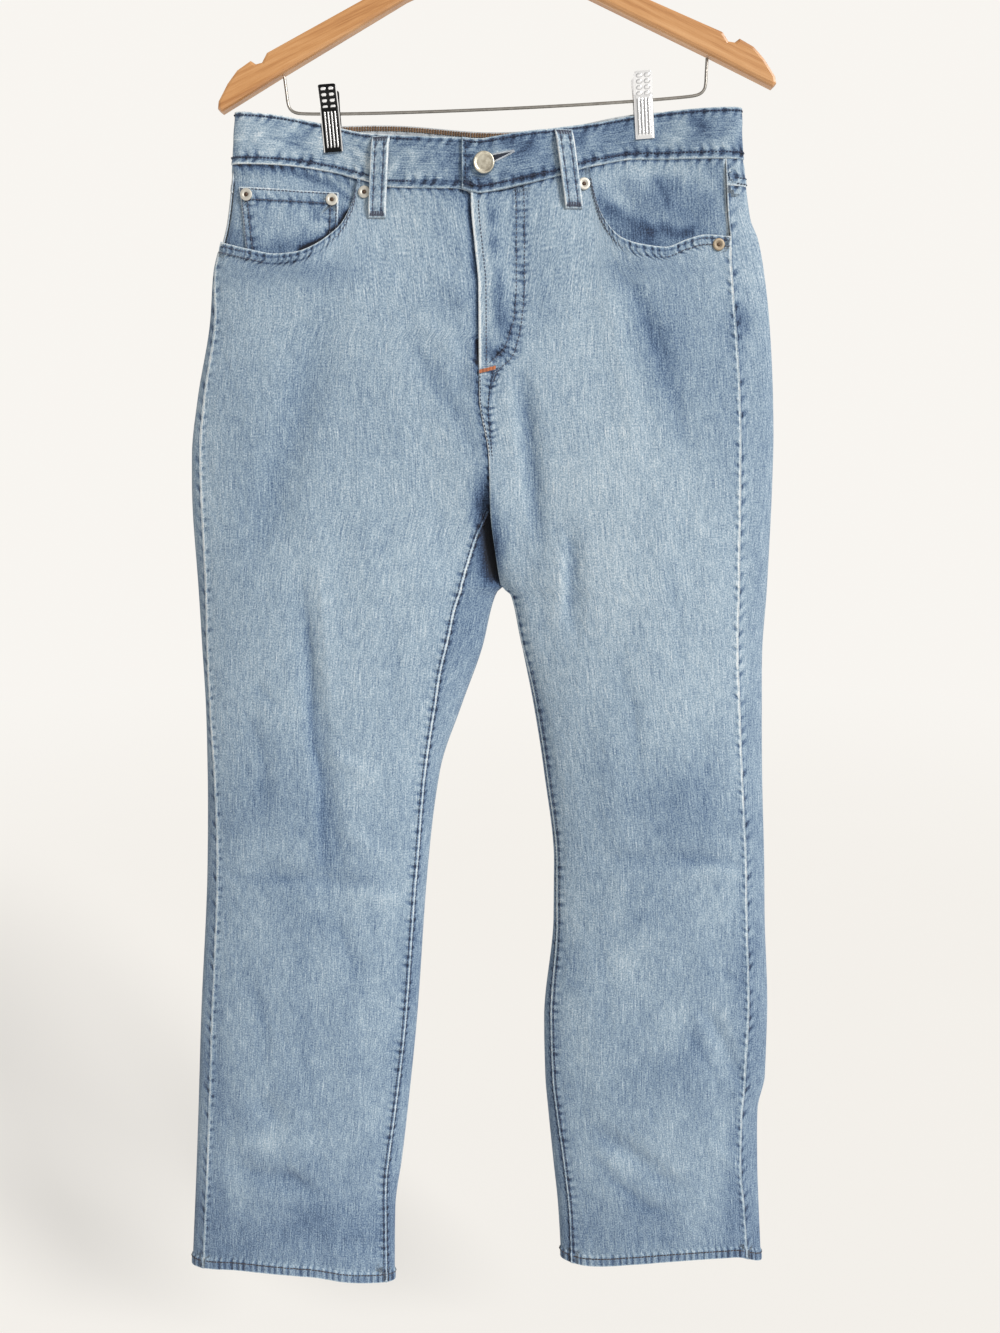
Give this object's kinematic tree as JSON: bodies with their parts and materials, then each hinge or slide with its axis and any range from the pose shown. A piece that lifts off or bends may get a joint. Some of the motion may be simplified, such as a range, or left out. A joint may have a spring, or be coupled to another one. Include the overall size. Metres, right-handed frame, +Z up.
{
  "type": "straight leg jeans on a clip hanger",
  "caption": "Light blue straight leg denim jeans, hung by the waistband from the clips of a wooden hanger, with open waist and legs and a hook to hang them by.",
  "frame": {"origin": "the inner top of the hook, where it bears on a rail", "axes": "+Z up, +X to the right as seen from the front, the front of the jeans faces -Y"},
  "size_m": [0.5618, 0.0625, 1.2828],
  "materials": {
    "denim": "light stonewashed denim",
    "zip": "woven tape with metal teeth",
    "button": "matt nickel plate",
    "rivet": "matt nickel plate with a copper centre",
    "wood": "clear varnish",
    "chromed_steel": "polished"
  },
  "bodies": {
    "root": {"front_left_upper": "denim", "front_left_middle": "denim", "front_left_lower": "denim", "front_right_upper": "denim", "front_right_middle": "denim", "front_right_lower": "denim", "back_left_upper": "denim", "back_left_middle": "denim", "back_left_lower": "denim", "back_right_upper": "denim", "back_right_middle": "denim", "back_right_lower": "denim", "yoke_left": "denim", "yoke_right": "denim", "waistband": "denim", "pocket_facing_left": "denim", "pocket_facing_right": "denim", "coin_pocket": "denim", "back_pocket_left": "denim", "back_pocket_right": "denim", "belt_loop_front_left": "denim", "belt_loop_front_right": "denim", "belt_loop_back_left": "denim", "belt_loop_back": "denim", "belt_loop_back_right": "denim", "fly_zip": "zip", "button": "button", "rivet_left": "rivet", "rivet_right": "rivet", "rivet_right_outer": "rivet", "rivet_coin_outer": "rivet", "rivet_coin_inner": "rivet", "hanger_wood": "wood", "hanger_hook": "chromed_steel", "hanger_bar": "chromed_steel", "clip_left_front": "chromed_steel", "clip_left_back": "chromed_steel", "clip_left_barrel": "chromed_steel", "clip_right_front": "chromed_steel", "clip_right_back": "chromed_steel", "clip_right_barrel": "chromed_steel"}
  },
  "joints": []
}
